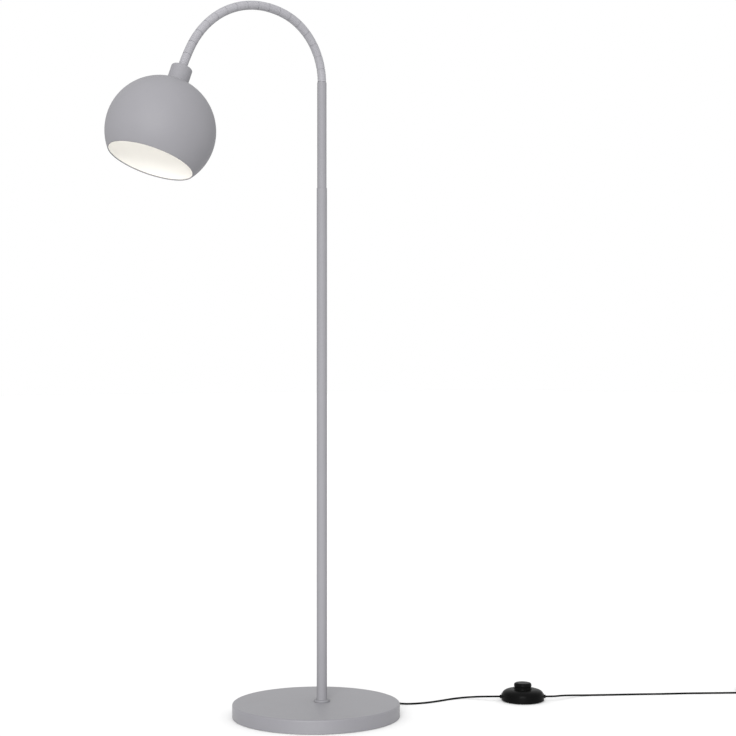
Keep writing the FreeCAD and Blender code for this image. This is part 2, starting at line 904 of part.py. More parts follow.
def foot_switch():
    floor = size.switch_foot
    deck = size.switch_foot + size.switch_floor
    outer = size.switch_radius
    inner = size.switch_radius - size.switch_wall
    foot = outer - size.switch_foot_inset
    turned("switch_foot_ring", [
        (foot - size.switch_foot_width, 0),
        (foot, 0),
        (foot, floor),
        (foot - size.switch_foot_width, floor),
    ], switch_frame)
    turned("switch_base", [
        (0, floor),
        (outer - size.switch_edge, floor),
        (outer, floor + size.switch_edge),
        (outer, deck),
        (0, deck),
    ], switch_frame)
    hole = size.button_radius + size.button_gap
    top = size.switch_shoulder + size.switch_rise
    under_rim = size.switch_rim - size.switch_wall
    body = turned("switch_cover", [
        (inner, deck),
        (outer, deck),
        (outer, size.switch_rim - size.switch_rim_round),
        bow(size.switch_rim_round, 1),
        (outer - size.switch_rim_round, size.switch_rim),
        bow(size.switch_radius, 1),
        (size.switch_shoulder_radius, size.switch_shoulder),
        (hole, top),
        (hole, top - size.switch_wall),
        (size.switch_shoulder_radius, size.switch_shoulder - size.switch_wall),
        (inner - size.switch_rim_round, under_rim),
        (inner, under_rim - size.switch_rim_round),
    ], switch_frame)
    entries = new_sketch(body, "CordEntries", "YZ_Plane")
    draw_circle(entries, 0, size.cord_exit_height, size.gland_radius)
    extrude(body, "Pocket", entries, outer, "EntryRight")
    extrude(body, "Pocket", entries, outer, "EntryLeft", up=False)
    turned("switch_contacts", [
        (0, deck),
        (size.contacts_radius, deck),
        (size.contacts_radius, deck + size.contacts_height),
        (0, deck + size.contacts_height),
    ], switch_frame)
    bush = size.entry_inset + size.gland_length
    for label, way in (("switch_gland_in", 180), ("switch_gland_out", 0)):
        outward = Rotation(Vector(0, 0, 1), SWITCH_TURN + way)
        reach = (inner - size.entry_inset).value
        place = SWITCH_PLACE + outward.multVec(Vector(reach, 0, mm.cord_exit_height))
        along = outward.multiply(Rotation(Vector(0, 1, 0), 90))
        turned(label, [
            (0, 0),
            (size.gland_radius, 0),
            (size.gland_radius, bush - size.entry_edge),
            (size.gland_radius - size.entry_edge, bush),
            (0, bush),
        ], Placement(place, along))


def button():
    """The tall press button, its flange held under the cover."""
    flange_top = size.switch_shoulder - size.switch_wall - size.button_play
    flange_under = flange_top - size.button_flange
    flange = size.button_radius + size.button_grip
    waist_foot = size.switch_shoulder + size.waist_rise
    head_foot = size.button_top - size.button_head
    turned("switch_button", [
        (0, flange_under),
        (flange, flange_under),
        (flange, flange_top),
        (size.button_radius, flange_top),
        (size.button_radius, waist_foot),
        (size.button_waist, waist_foot + size.waist_slope),
        (size.button_waist, head_foot - size.waist_slope),
        (size.button_radius, head_foot),
        (size.button_radius, size.button_top - size.button_round),
        bow(size.button_round, 1),
        (size.button_radius - size.button_round, size.button_top),
        (0, size.button_top),
    ], switch_frame)


# ---------------------------------------------------------------- cord and plug
FLOOR = mm.cord_radius
STRAIGHT = 15.0
GLAND_FACE = -mm.pole_setback + mm.base_radius + mm.gland_lip_length
ENTRY_FACE = mm.switch_radius - mm.switch_wall + mm.gland_length


def from_switch(along, across, height):
    return switch_frame.multVec(Vector(along, across, height))


def cords():
    """The cord's free stretches, as it lies from bush to bush and on to the plug."""
    exit_height = mm.cord_exit_height
    first_route = [
        Vector(GLAND_FACE, 0, exit_height),
        Vector(GLAND_FACE + STRAIGHT, 0, exit_height),
        Vector(168, -9.5, 6.4),
        Vector(177, -25, 3.6),
        Vector(192, -38, FLOOR),
        Vector(217, -45.5, FLOOR),
        Vector(248, -47.3, FLOOR),
        Vector(278, -48.2, FLOOR),
        Vector(300, -57, 2.6),
        Vector(314, -78, 5.2),
        from_switch(-ENTRY_FACE - STRAIGHT, 0, exit_height),
        from_switch(-ENTRY_FACE, 0, exit_height),
    ]
    second_route = [
        from_switch(ENTRY_FACE, 0, exit_height),
        from_switch(ENTRY_FACE + STRAIGHT, 0, exit_height),
        from_switch(77, 12, 6.4),
        from_switch(97, 28, 3.3),
        from_switch(120, 40, FLOOR),
        from_switch(150, 45.5, FLOOR),
        from_switch(184, 48.5, FLOOR),
        from_switch(224, 53, FLOOR),
        from_switch(270, 55.5, FLOOR),
        from_switch(318, 62, FLOOR),
        from_switch(366, 64.2, FLOOR),
        from_switch(410, 67, FLOOR),
        coil_point(0) - coil_way(0) * COIL_RUN_IN,
        coil_point(0),
    ]
    tail_route = [
        coil_point(COIL_OUT),
        coil_point(COIL_OUT) + coil_way(COIL_OUT) * COIL_RUN_OUT,
        plug_point(-mm.relief_length - PLUG_RUN, 0, 0),
        plug_point(-mm.relief_length, 0, 0),
    ]
    for label, route in (("cord_to_switch", first_route), ("cord_from_switch", second_route),
                         ("cord_tail", tail_route)):
        curves, radii = rounded_route(route)
        solid, length, ratio = tube(curves, mm.cord_radius)
        shape_piece(label, solid)
        print(label, "length", round(length, 1), "volume ratio", round(ratio, 4),
              "radii", [round(radius) for radius in radii])


COIL_ENTRY = (452, 68)
COIL_POINTS_PER_TURN = 4
COIL_REVERSAL = 0.12
COIL_CLIMB = 0.5
COIL_OUT = 2 * COIL_TURNS + 0.25
COIL_RUN_IN = 24
COIL_RUN_OUT = 12
COIL_SAMPLES = 800
SAMPLES_APART = 60


def coil_point(turns):
    """The coil's centre line: in through one layer, up at the reversal, out in the next."""
    to_go = turns - COIL_TURNS
    drawn_in = math.hypot(COIL_TURNS, COIL_REVERSAL) - math.hypot(to_go, COIL_REVERSAL)
    radius = mm.coil_outer_radius - mm.coil_step * drawn_in
    climb = min(max(to_go / COIL_CLIMB + 0.5, 0.0), 1.0)
    height = FLOOR + mm.coil_step * climb * climb * (3 - 2 * climb)
    angle = 2 * math.pi * turns - math.pi / 2
    return from_switch(COIL_ENTRY[0] + radius * math.cos(angle),
                       COIL_ENTRY[1] + mm.coil_outer_radius + radius * math.sin(angle), height)


def coil_way(turns):
    return (coil_point(turns + 1e-4) - coil_point(turns - 1e-4)).normalize()


def coil():
    """The spare cord, wound in two layers as one unbroken tube."""
    steps = round(COIL_OUT * COIL_POINTS_PER_TURN)
    turns = [index / COIL_POINTS_PER_TURN for index in range(steps + 1)]
    curves = []
    for start, end in zip(turns, turns[1:]):
        curves += biarc(coil_point(start), coil_way(start), coil_point(end), coil_way(end))
    solid, length, ratio = tube(curves, mm.cord_radius)
    shape_piece("cord_coil", solid)
    samples = [coil_point(COIL_OUT * index / COIL_SAMPLES) for index in range(COIL_SAMPLES + 1)]
    gap = min((samples[low] - samples[high]).Length
              for low in range(COIL_SAMPLES)
              for high in range(low + SAMPLES_APART, COIL_SAMPLES + 1))
    gap -= 2 * mm.cord_radius
    print("cord_coil length", round(length, 1), "volume ratio", round(ratio, 4),
          "least gap", round(gap, 2))


PLUG_PLACE = (COIL_ENTRY[0] + 24.7, COIL_ENTRY[1] + 88.7)
PLUG_TURN = 98.0
PLUG_RUN = 13
plug_frame = switch_frame.multiply(Placement(
    Vector(*PLUG_PLACE, mm.plug_thickness / 2), Rotation(Vector(0, 0, 1), PLUG_TURN)))


def plug_point(along, across, height):
    return plug_frame.multVec(Vector(along, across, height))


def plug():
    """A flat two-pin plug lying on the floor beside the coil."""
    body = new_body("plug_body")
    half = size.plug_width / 2
    nose = size.plug_nose_width / 2
    back = size.plug_back_width / 2
    outline = new_sketch(body, "Outline", "XY_Plane")
    draw_outline(outline, [
        (0, -back),
        (size.plug_nose, -nose),
        (size.plug_shoulder, -half),
        (size.plug_length, -half),
        (size.plug_length, half),
        (size.plug_shoulder, half),
        (size.plug_nose, nose),
        (0, back),
    ])
    block = extrude(body, "Pad", outline, size.plug_thickness, "Block")
    block.Midplane = True
    document.recompute()
    rounded = body.newObject("PartDesign::Fillet", "Softened")
    flat_edges = [f"Edge{index}" for index, edge in enumerate(block.Shape.Edges, start=1)
                  if abs(edge.CenterOfMass.z) > mm.plug_thickness / 2 - 0.01
                  and edge.CenterOfMass.x < mm.plug_length - 0.01]
    rounded.Base = (block, flat_edges)
    rounded.Radius = mm.plug_round
    rounded.setExpression("Radius", size.plug_round.formula)
    body.Placement = plug_frame
    along_pins = Rotation(Vector(0, 1, 0), 90)
    bare_length = mm.pin_length - mm.pin_sleeve_length
    pins = []
    sleeves = []
    for sign in (-1, 1):
        place = Placement(plug_point(mm.plug_length, sign * mm.pin_spread / 2, 0),
                          plug_frame.Rotation.multiply(along_pins))
        bare = Part.makeCylinder(mm.pin_radius, bare_length)
        tip = [edge for edge in bare.Edges if edge.CenterOfMass.z > bare_length - 0.01]
        bare = bare.makeFillet(mm.pin_round, tip)
        bare.translate(Vector(0, 0, mm.pin_sleeve_length))
        core = Part.makeCylinder(mm.pin_core_radius, mm.pin_sleeve_length)
        sleeve = Part.makeCylinder(mm.pin_radius, mm.pin_sleeve_length).cut(core)
        pin = bare.fuse(core)
        pin.Placement = place
        sleeve.Placement = place
        pins.append(pin)
        sleeves.append(sleeve)
    shape_piece("plug_pins", Part.makeCompound(pins))
    shape_piece("plug_sleeves", Part.makeCompound(sleeves))
    backward = Rotation(Vector(0, 1, 0), -90)
    turned("plug_relief", [
        (0, 0),
        (size.relief_foot_radius, 0),
        (size.relief_radius, size.relief_foot_length),
        (size.cord_radius + size.relief_wall, size.relief_length),
        (0, size.relief_length),
    ], Placement(plug_point(0, 0, 0), plug_frame.Rotation.multiply(backward)))


# ---------------------------------------------------------------- everything
base_pad()
base_plate()
base_weight()
base_cover()
base_screws()
cord_gland()
pole()
gooseneck()
neck_tip()
collar()
shade()
head_nut()
lampholder()
bulb()
foot_switch()
button()
cords()
coil()
plug()

document.recompute()
problems = [item.Label for item in document.Objects
            if "Invalid" in item.State or "Error" in item.State]
for piece in pieces:
    if piece.Shape.isNull() or not piece.Shape.isValid() or piece.Shape.Volume <= 0:
        problems.append(f"{piece.Label} has no valid shape")
if problems:
    raise RuntimeError(f"failed: {problems}")

os.makedirs("parts", exist_ok=True)
for piece in pieces:
    piece.Shape.exportStep(f"parts/{piece.Label}.step")
print(len(pieces), "pieces, head centre", [round(v, 1) for v in shade_centre],
      "neck turn", round(math.degrees(hinge_heading), 1))
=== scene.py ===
# %% [markdown]
# # A gooseneck reading lamp, dressed
# The lamp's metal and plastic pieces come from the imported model, at their real sizes in
# metres. This lesson gives each of them a finish, lays the limp cord on the floor, spins
# anew the four pieces whose fine edges the picture shows, and sets up a plain studio.

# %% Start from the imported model
import math

import bmesh
import bpy
from mathutils import Matrix, Vector


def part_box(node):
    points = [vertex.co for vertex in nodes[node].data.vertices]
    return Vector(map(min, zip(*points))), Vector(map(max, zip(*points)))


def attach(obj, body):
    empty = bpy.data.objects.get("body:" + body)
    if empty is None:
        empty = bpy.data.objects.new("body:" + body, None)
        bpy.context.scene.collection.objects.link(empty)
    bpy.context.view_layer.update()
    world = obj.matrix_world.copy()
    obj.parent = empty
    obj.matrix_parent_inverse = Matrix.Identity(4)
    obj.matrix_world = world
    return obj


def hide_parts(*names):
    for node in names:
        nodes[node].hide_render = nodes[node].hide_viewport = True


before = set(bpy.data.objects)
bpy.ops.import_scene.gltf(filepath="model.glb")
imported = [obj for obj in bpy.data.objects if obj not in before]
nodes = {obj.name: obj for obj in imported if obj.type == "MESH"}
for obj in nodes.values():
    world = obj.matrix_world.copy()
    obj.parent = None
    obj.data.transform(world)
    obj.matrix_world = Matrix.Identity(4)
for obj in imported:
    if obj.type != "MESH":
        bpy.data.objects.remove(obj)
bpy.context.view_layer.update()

MM = 0.001
scene = bpy.context.scene

# %% [markdown]
# ## The camera
# The photograph was taken from about three metres away, level, at about half the lamp's
# height, and the lamp's own upright plane is turned 40 degrees out of the picture. A camera
# could be set by eye. This one was worked out from the base's ellipse and the places of
# pole, head and foot switch, so that the render can be laid over the photograph.

# %% Camera
CAMERA_PLACE = (-1.8384, -2.3199, 0.6238)
CAMERA_TURN = math.radians(-40.0)
SENSOR_WIDTH = 36.0
FOCAL_PIXELS = 1647.4
PICTURE_PIXELS = 736

camera_data = bpy.data.cameras.new("camera")
camera_data.sensor_width = SENSOR_WIDTH
camera_data.lens = SENSOR_WIDTH * FOCAL_PIXELS / PICTURE_PIXELS
camera = bpy.data.objects.new("camera", camera_data)
camera.location = CAMERA_PLACE
camera.rotation_euler = (math.pi / 2, 0.0, CAMERA_TURN)
scene.collection.objects.link(camera)
scene.camera = camera
print("lens", round(camera_data.lens, 1), "mm")

# %% [markdown]
# ## The cord
# A thin mains cord leaves the base at the back and runs to the foot switch, and from there
# out of the picture to a small coil and its plug. A chain of cylinders would show a kink at
# every joint. A cord is one smooth line with a round section, so it is a NURBS curve with a
# bevel here: few control points, no kinks, and its thickness is a single number.

# %% Cord: its sizes, and a line laid through points
CORD_DIAMETER = 0.0034
LYING = CORD_DIAMETER / 2 / MM
QUADRATIC = 3
STEPS_PER_POINT = 8
ROUNDNESS = 5
SWITCH_CENTRE = Vector((0.3694, -0.1401, 0.0))
SWITCH_TURN = math.radians(-40.0)


def from_switch(along, across, height):
    """A point given in millimetres from the foot switch's middle, along its cord."""
    flat = Matrix.Rotation(SWITCH_TURN, 3, "Z") @ Vector((along, across, height))
    return SWITCH_CENTRE + flat * MM


def laid_cord(name, points):
    """A round cord on a smooth line that follows control points."""
    data = bpy.data.curves.new(name, "CURVE")
    data.dimensions = "3D"
    line = data.splines.new("NURBS")
    line.points.add(len(points) - 1)
    for point, place in zip(line.points, points):
        point.co = (*place, 1.0)
    line.order_u = QUADRATIC
    line.use_endpoint_u = True
    line.resolution_u = STEPS_PER_POINT
    data.bevel_depth = CORD_DIAMETER / 2
    data.bevel_resolution = ROUNDNESS
    cord = bpy.data.objects.new(name, data)
    scene.collection.objects.link(cord)
    print(name, "runs through", len(points), "control points")
    return cord


print("a lying cord's middle is", round(LYING, 2), "mm above the floor")

# %% [markdown]
# The points are in millimetres. The cord comes level out of a bush in the base, drops to the
# floor in a gentle bow, and rises again to the bush in the foot switch.

# %% Cord: from the base to the switch
BASE_EXIT = 139.5
SWITCH_EXIT = 43
EXIT_HEIGHT = 8

to_switch = laid_cord("mains_cord_to_switch", [
    Vector((BASE_EXIT, 0, EXIT_HEIGHT)) * MM,
    Vector((149, 0, EXIT_HEIGHT)) * MM,
    Vector((158.5, -10, 4.4)) * MM,
    Vector((171, -23, 1.9)) * MM,
    Vector((186.5, -35, LYING)) * MM,
    Vector((217, -45.5, LYING)) * MM,
    Vector((248, -47.3, LYING)) * MM,
    Vector((278, -48.2, LYING)) * MM,
    Vector((300, -57, 2.6)) * MM,
    Vector((314, -78, 5.2)) * MM,
    from_switch(-58, 0, EXIT_HEIGHT),
    from_switch(-SWITCH_EXIT, 0, EXIT_HEIGHT),
])

# %% [markdown]
# The far end isn't in the picture. It lies as one would store it: wound into a neat coil in
# two layers, with the plug beside it. The coil could be a curve of its own, but then its ends
# would have to be matched by hand, so its turns are only more control points of the same
# line. A quadratic spline runs a little inside its points, and the radius makes up for that.

# %% Coil: a point on its windings
COIL_CENTRE = (452.0, 96.2)
COIL_RADIUS = 28.2
COIL_STEP = 4.0
TURNS_IN = 4
TURNS_IN_ALL = 8.25
POINTS_PER_TURN = 16
REVERSAL = 0.12
INSIDE_RUN = math.cos(math.pi / POINTS_PER_TURN)


def coil_point(turns):
    """The coil winds in through the lower layer and out again through the upper one,
    and climbs from one to the other in the half turn round the reversal."""
    to_go = turns - TURNS_IN
    drawn_in = math.hypot(TURNS_IN, REVERSAL) - math.hypot(to_go, REVERSAL)
    radius = (COIL_RADIUS - COIL_STEP * drawn_in) / INSIDE_RUN
    climb = min(max(2 * to_go + 0.5, 0.0), 1.0)
    height = LYING + COIL_STEP * climb * climb * (3 - 2 * climb)
    angle = 2 * math.pi * turns - math.pi / 2
    return from_switch(COIL_CENTRE[0] + radius * math.cos(angle),
                       COIL_CENTRE[1] + radius * math.sin(angle), height)


print("coil", round(2 * COIL_RADIUS + CORD_DIAMETER / MM, 1), "mm across")

# %% Cord: from the switch through the coil to the plug
UPPER_LAYER = LYING + COIL_STEP
PLUG_HEIGHT = 6.9

route = [
    from_switch(SWITCH_EXIT, 0, EXIT_HEIGHT),
    from_switch(58, 0, EXIT_HEIGHT),
    from_switch(77, 14.5, 6.9),
    from_switch(97, 31, 4.0),
    from_switch(120, 43, LYING),
    from_switch(150, 45.5, LYING),
    from_switch(184, 48.5, LYING),
    from_switch(224, 53, LYING),
    from_switch(270, 55.5, LYING),
    from_switch(318, 62, LYING),
    from_switch(366, 64.2, LYING),
    from_switch(410, 67, LYING),
    from_switch(430, 67.8, LYING),
]
route += [coil_point(step / POINTS_PER_TURN)
          for step in range(1, round(TURNS_IN_ALL * POINTS_PER_TURN))]
route += [
    from_switch(481.4, 102, UPPER_LAYER),
    from_switch(481.6, 113, UPPER_LAYER + 0.3),
    from_switch(481.3, 124, PLUG_HEIGHT),
    from_switch(479.8, 134.9, PLUG_HEIGHT),
]
from_switch_cord = laid_cord("mains_cord_from_switch", route)

# %% [markdown]
# ## Finishes
# Pictures of paint would need unwrapped pieces and would show their seams, so every finish
# is a small node tree on the Principled shader. What is the same all over, such as gloss, is
# typed on the shader's own sockets. Only what varies over the surface, such as the paint's
# grain, comes from noise, and that noise is measured in metres.

# %% Finishes: a new material, and its noise
NOISE_LOW, NOISE_HIGH = 0.3, 0.7


def new_finish(name):
    """A material with its Principled shader, ready for textures."""
    finish = bpy.data.materials.new(name)
    finish.use_nodes = True
    return finish, finish.node_tree, finish.node_tree.nodes["Principled BSDF"]


def noise(tree, scale, detail=3.0, roughness=0.5, stretch=(1.0, 1.0, 1.0)):
    """Noise measured in the object's own metres, so its grain has a real size."""
    place = tree.nodes.new("ShaderNodeTexCoord")
    mapping = tree.nodes.new("ShaderNodeMapping")
    mapping.inputs["Scale"].default_value = stretch
    grain = tree.nodes.new("ShaderNodeTexNoise")
    grain.inputs["Scale"].default_value = scale
    grain.inputs["Detail"].default_value = detail
    grain.inputs["Roughness"].default_value = roughness
    tree.links.new(place.outputs["Object"], mapping.inputs["Vector"])
    tree.links.new(mapping.outputs["Vector"], grain.inputs["Vector"])
    return grain.outputs["Fac"]


def ranged(tree, source, low, high):
    """Turn the noise, which keeps near its middle, into values between low and high."""
    scaled = tree.nodes.new("ShaderNodeMapRange")
    scaled.inputs["From Min"].default_value = NOISE_LOW
    scaled.inputs["From Max"].default_value = NOISE_HIGH
    scaled.inputs["To Min"].default_value = low
    scaled.inputs["To Max"].default_value = high
    tree.links.new(source, scaled.inputs["Value"])
    return scaled.outputs["Result"]


print("noise counts from", NOISE_LOW, "to", NOISE_HIGH)


# %% Finishes: what noise does to colour, relief and roughness
def tinted(tree, shader, source, dark, light):
    """Colour that drifts between two tints."""
    mix = tree.nodes.new("ShaderNodeMix")
    mix.data_type = "RGBA"
    mix.inputs["A"].default_value = (*dark, 1.0)
    mix.inputs["B"].default_value = (*light, 1.0)
    tree.links.new(ranged(tree, source, 0.0, 1.0), mix.inputs["Factor"])
    tree.links.new(mix.outputs["Result"], shader.inputs["Base Color"])


def bumped(tree, shader, source, depth):
    """Relief of the given depth in metres."""
    bump = tree.nodes.new("ShaderNodeBump")
    bump.inputs["Strength"].default_value = 1.0
    bump.inputs["Distance"].default_value = depth
    tree.links.new(source, bump.inputs["Height"])
    tree.links.new(bump.outputs["Normal"], shader.inputs["Normal"])


def roughened(tree, shader, source, roughness, spread):
    """Roughness that varies by the given spread either way."""
    tree.links.new(ranged(tree, source, roughness - spread, roughness + spread),
                   shader.inputs["Roughness"])


# %% [markdown]
# ### Satin paint
# Shade, pole, neck and base are sprayed in one satin grey, and the shade is white inside. A
# single flat colour would pass for plastic. Real sprayed paint drifts a little in tone and
# dries with an orange-peel grain, so both are there, a few hundredths of a millimetre deep.
# The base and the neck wear the same grey with painted light in it. The base's copy is painted
# darker, a painted shade that tones down its side under the low front sun. The ribbed neck's
# copy is painted lighter, to paint back the shade that falls in its grooves.

# %% Finishes: satin paint
PAINT_DRIFT = 14.0
PEEL_GRAIN = 900.0
PEEL_DEPTH = 0.00003
PEEL_SPREAD = 0.04


def satin_paint(name, dark, light, roughness, gloss=0.25, sheen=0.0):
    """Sprayed paint: an even colour, a faint drift in it, and an orange-peel grain."""
    finish, tree, shader = new_finish(name)
    tinted(tree, shader, noise(tree, PAINT_DRIFT), dark, light)
    peel = noise(tree, PEEL_GRAIN, detail=2.0)
    bumped(tree, shader, peel, PEEL_DEPTH)
    roughened(tree, shader, peel, roughness, PEEL_SPREAD)
    shader.inputs["Specular IOR Level"].default_value = gloss
    shader.inputs["Sheen Weight"].default_value = sheen
    return finish


grey_paint = satin_paint("satin_grey_paint",
                         (0.196, 0.1936, 0.2065), (0.204, 0.2015, 0.215), 0.6)
# painted shade: the base's copy of the grey is darker, to tone down its side under the low
# front sun
base_paint_painted_darker = satin_paint("grey_base_paint_painted_darker",
                         (0.160, 0.158, 0.171), (0.166, 0.164, 0.178), 0.55, 0.6, 0.08)
# painted light: the neck's copy of the grey is lighter, to make up for the shade in its rib
# grooves
neck_paint_painted_lighter = satin_paint("grey_neck_paint_painted_lighter",
                         (0.257, 0.254, 0.271), (0.276, 0.273, 0.291), 0.5)
white_paint = satin_paint("white_shade_lining",
                          (0.87, 0.865, 0.845), (0.885, 0.88, 0.865), 0.55)
print("paints:", grey_paint.name, base_paint_painted_darker.name, neck_paint_painted_lighter.name, white_paint.name)

# %% [markdown]
# ### Plastics and rubber
# Switch, plug and bushes are moulded in black plastic, the cord has a softer black sheath,
# and the lamp stands on rubber. Pure black would swallow every edge. These are only nearly
# black, with little gloss and the mould's fine texture, so that the light still draws them.

# %% Finishes: plastics, rubber and the cord's sheath
MOULD_DRIFT = 60.0
MOULD_SPREAD = 0.06
MOULD_GLOSS = 0.03
LIGHTER = 1.25


def moulded(name, colour, roughness, grain, depth):
    """Moulded plastic or rubber: one colour with the mould's fine texture."""
    finish, tree, shader = new_finish(name)
    lighter = tuple(channel * LIGHTER for channel in colour)
    shader.inputs["Specular IOR Level"].default_value = MOULD_GLOSS
    tinted(tree, shader, noise(tree, MOULD_DRIFT), colour, lighter)
    texture = noise(tree, grain, detail=4.0, roughness=0.6)
    bumped(tree, shader, texture, depth)
    roughened(tree, shader, texture, roughness, MOULD_SPREAD)
    return finish


black_plastic = moulded("black_moulded_plastic", (0.003, 0.003, 0.003), 0.34, 1500.0, 0.00002)
black_sheath = moulded("black_cord_sheath", (0.0024, 0.0024, 0.0024), 0.42, 700.0, 0.00002)
rubber = moulded("black_foot_rubber", (0.016, 0.016, 0.016), 0.8, 1200.0, 0.00005)
holder_plastic = moulded("white_holder_plastic", (0.72, 0.71, 0.68), 0.35, 1200.0, 0.00001)
print("plastics:", black_plastic.name, black_sheath.name, rubber.name, holder_plastic.name)

# %% [markdown]
# ### Bare metals
# Fasteners, contacts and the bulb's cap are bare metal, turned or plated. A perfect mirror
# would look wrong on them, because the tool leaves fine lines. Noise stretched along one
# axis makes such lines without a single extra face.

# %% Finishes: bare metals
TOOL_LINES = 300.0
LINE_DEPTH = 0.00001
LINE_SPREAD = 0.08


def bare_metal(name, colour, roughness, stretch):
    """Plated or turned metal, with fine lines where the tool ran."""
    finish, tree, shader = new_finish(name)
    shader.inputs["Base Color"].default_value = (*colour, 1.0)
    shader.inputs["Metallic"].default_value = 1.0
    lines = noise(tree, TOOL_LINES, detail=5.0, roughness=0.6, stretch=stretch)
    bumped(tree, shader, lines, LINE_DEPTH)
    roughened(tree, shader, lines, roughness, LINE_SPREAD)
    return finish


zinc = bare_metal("zinc_plated_steel", (0.56, 0.57, 0.58), 0.34, (1, 1, 6))
nickel = bare_metal("nickel_plated_pins", (0.66, 0.63, 0.58), 0.22, (1, 1, 1))
brass = bare_metal("plain_brass", (0.72, 0.52, 0.23), 0.3, (1, 1, 4))
bulb_metal = bare_metal("rolled_bulb_cap", (0.78, 0.78, 0.78), 0.3, (1, 1, 8))
print("metals:", zinc.name, nickel.name, brass.name, bulb_metal.name)

# %% [markdown]
# ### The cast weight and the bulb
# The hidden weight is taken to be cast concrete, coarse and pitted. The bulb is opal glass.
# A lamp could be put inside it, but the glass itself glows evenly on the real one, so it
# gives off the light, and that light whitens the inside of the shade.

# %% Finishes: the cast weight and the bulb
def cast_concrete():
    """The hidden weight: grey, coarse and pitted."""
    finish, tree, shader = new_finish("cast_concrete")
    tinted(tree, shader, noise(tree, 40.0, detail=8.0),
           (0.20, 0.195, 0.185), (0.34, 0.33, 0.315))
    bumped(tree, shader, noise(tree, 260.0, detail=8.0, roughness=0.7), depth=0.0004)
    shader.inputs["Roughness"].default_value = 0.9
    return finish


def opal_glass():
    """The bulb's white glass, lit from within."""
    finish, tree, shader = new_finish("opal_bulb_glass")
    tinted(tree, shader, noise(tree, 30.0), (0.90, 0.88, 0.84), (0.93, 0.92, 0.89))
    shader.inputs["Roughness"].default_value = 0.25
    shader.inputs["Emission Color"].default_value = (1.0, 0.955, 0.89, 1.0)
    shader.inputs["Emission Strength"].default_value = 2.9
    return finish


concrete = cast_concrete()
opal = opal_glass()
print("the rest:", concrete.name, opal.name)

# %% [markdown]
# ### What each piece wears
# A list of names is easier to check than a finish set piece by piece. Whatever it leaves out
# is black plastic: the switch, the plug and the bushes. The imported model's own cords stay as
# they are, because the smooth ones take their place.

# %% Finishes: which node wears which
STEEL_NODES = ("base_plate", "base_screws", "base_washer", "base_nut", "pole_nipple",
               "pole_insert", "neck_root", "neck_tip", "head_nut", "head_washer")
WEARS = {
    "base_pad": rubber, "switch_foot_ring": rubber, "base_weight": concrete,
    "bulb_glass": opal, "bulb_cap": bulb_metal, "plug_pins": nickel,
    "lampholder_sleeve": brass, "lampholder_contact": brass,
    "lampholder_cap": holder_plastic, "lampholder_body": holder_plastic,
    "lampholder_ring": holder_plastic, "socket_cover": grey_paint, "base_cover": base_paint_painted_darker,
    "foot_ring": grey_paint, "lower_pole": grey_paint, "upper_tube": grey_paint,
}
WEARS.update({name: zinc for name in STEEL_NODES})


def wear(piece, *finishes):
    """Give a piece its finishes. Clearing slots sends all faces to the first one, so a new
    mesh, whose faces know their slots already and which has none yet, isn't cleared."""
    if piece.data.materials:
        piece.data.materials.clear()
    for finish in finishes:
        piece.data.materials.append(finish)


for name, node in nodes.items():
    if name.startswith("neck_link"):
        wear(node, neck_paint_painted_lighter)
    elif not name.startswith("cord_") or name == "cord_gland":
        wear(node, WEARS.get(name, black_plastic))
for cord in (to_switch, from_switch_cord):
    wear(cord, black_sheath)
print(len(WEARS), "nodes have a finish by name")

# %% [markdown]
# ## The shade
# The real shade is one spun sheet: grey outside, white inside, with its edge rolled into a
# thin bead where the two paints meet. A ball could be cut open with a boolean, but that
# leaves a raw edge. Here an outline is drawn in the upright plane, bead and all, and spun
# round the head's own axis, much as the sheet was. That axis leans with the neck's end. The
# packed ball's mesh has flat facets, which make its box a little tighter than the ball, and
# so this ball is 0.03 mm smaller: it stays inside that box.

# %% The head's frame and a lathe
HEAD_CENTRE = Vector((-0.34209, 0.0, 1.01768))
HEAD_LEAN = math.radians(21.22)
HEAD = Matrix.Translation(HEAD_CENTRE) @ Matrix.Rotation(HEAD_LEAN, 4, "Y")
SHARP_CORNER = math.radians(40)
SAME_PLACE = 1e-7


def ring_of_points(shape, radius, height, sides):
    """One outline point's way round the axis; on the axis it stays a single point."""
    if radius < SAME_PLACE:
        return [shape.verts.new((0.0, 0.0, height))]
    turns = [2 * math.pi * step / sides for step in range(sides)]
    return [shape.verts.new((radius * math.cos(turn), radius * math.sin(turn), height))
            for turn in turns]


def spun(name, outline, sides, placement, finish_of=None):
    """A mesh of revolution about Z: outline of (radius, height), one finish per step."""
    mesh = bpy.data.meshes.new(name)
    shape = bmesh.new()
    rings = [ring_of_points(shape, radius, height, sides) for radius, height in outline]
    for index, (low, high) in enumerate(zip(rings, rings[1:])):
        for step in range(sides):
            corners = [low[step % len(low)], low[(step + 1) % len(low)],
                       high[(step + 1) % len(high)], high[step % len(high)]]
            face = shape.faces.new(list(dict.fromkeys(corners)))
            face.smooth = True
            face.material_index = finish_of(index) if finish_of else 0
    bmesh.ops.remove_doubles(shape, verts=shape.verts, dist=SAME_PLACE)
    bmesh.ops.recalc_face_normals(shape, faces=shape.faces)
    shape.to_mesh(mesh)
    shape.free()
    mesh.transform(placement)
    mesh.set_sharp_from_angle(angle=SHARP_CORNER)
    piece = bpy.data.objects.new(name, mesh)
    scene.collection.objects.link(piece)
    print(name, "has", len(mesh.polygons), "faces")
    return piece


# %% The shade's outline
SHADE_RADIUS = 0.09227
SHADE_WALL = 0.0012
OPENING_DROP = 0.0557
NECK_BORE = 0.0051
ARC_STEPS = 60
RIM_BEAD = 0.0009
RIM_WRAP = math.radians(235)
RIM_STEPS = 10
LINING_GAP = 1.5 * RIM_BEAD


def ball_arc(radius, first, last, steps):
    """Points on a ball from one angle above its middle to another."""
    return [(radius * math.cos(first + (last - first) * step / steps),
             radius * math.sin(first + (last - first) * step / steps))
            for step in range(steps + 1)]


